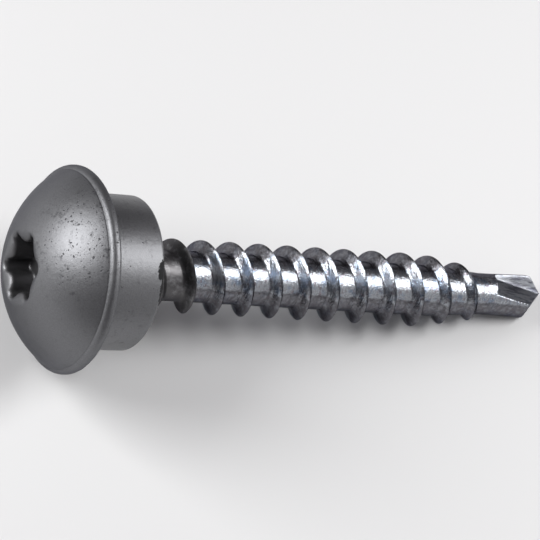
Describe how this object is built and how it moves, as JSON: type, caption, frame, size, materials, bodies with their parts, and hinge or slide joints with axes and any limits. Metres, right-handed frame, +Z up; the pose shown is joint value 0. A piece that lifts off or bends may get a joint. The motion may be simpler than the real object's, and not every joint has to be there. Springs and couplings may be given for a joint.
{
  "type": "metal roofing screw",
  "caption": "Self-drilling roofing screw with a flanged dome head, lobed drive recess, rubber sealing washer under the head, coarse thread and fluted drill point.",
  "frame": {"origin": "on the table under the middle of the screw as it lies", "axes": "+X from the head to the drill point, along the table; +Z up"},
  "size_m": [0.0392, 0.0136, 0.0135],
  "materials": {
    "zinc_steel": "bright zinc plating on the thread and point, satin grey paint on the head and neck",
    "washer_rubber": "black rubber under the head's satin grey paint, chipped at its far edge"
  },
  "bodies": {
    "root": {"screw": "zinc_steel", "sealing_washer": "washer_rubber"}
  },
  "joints": []
}
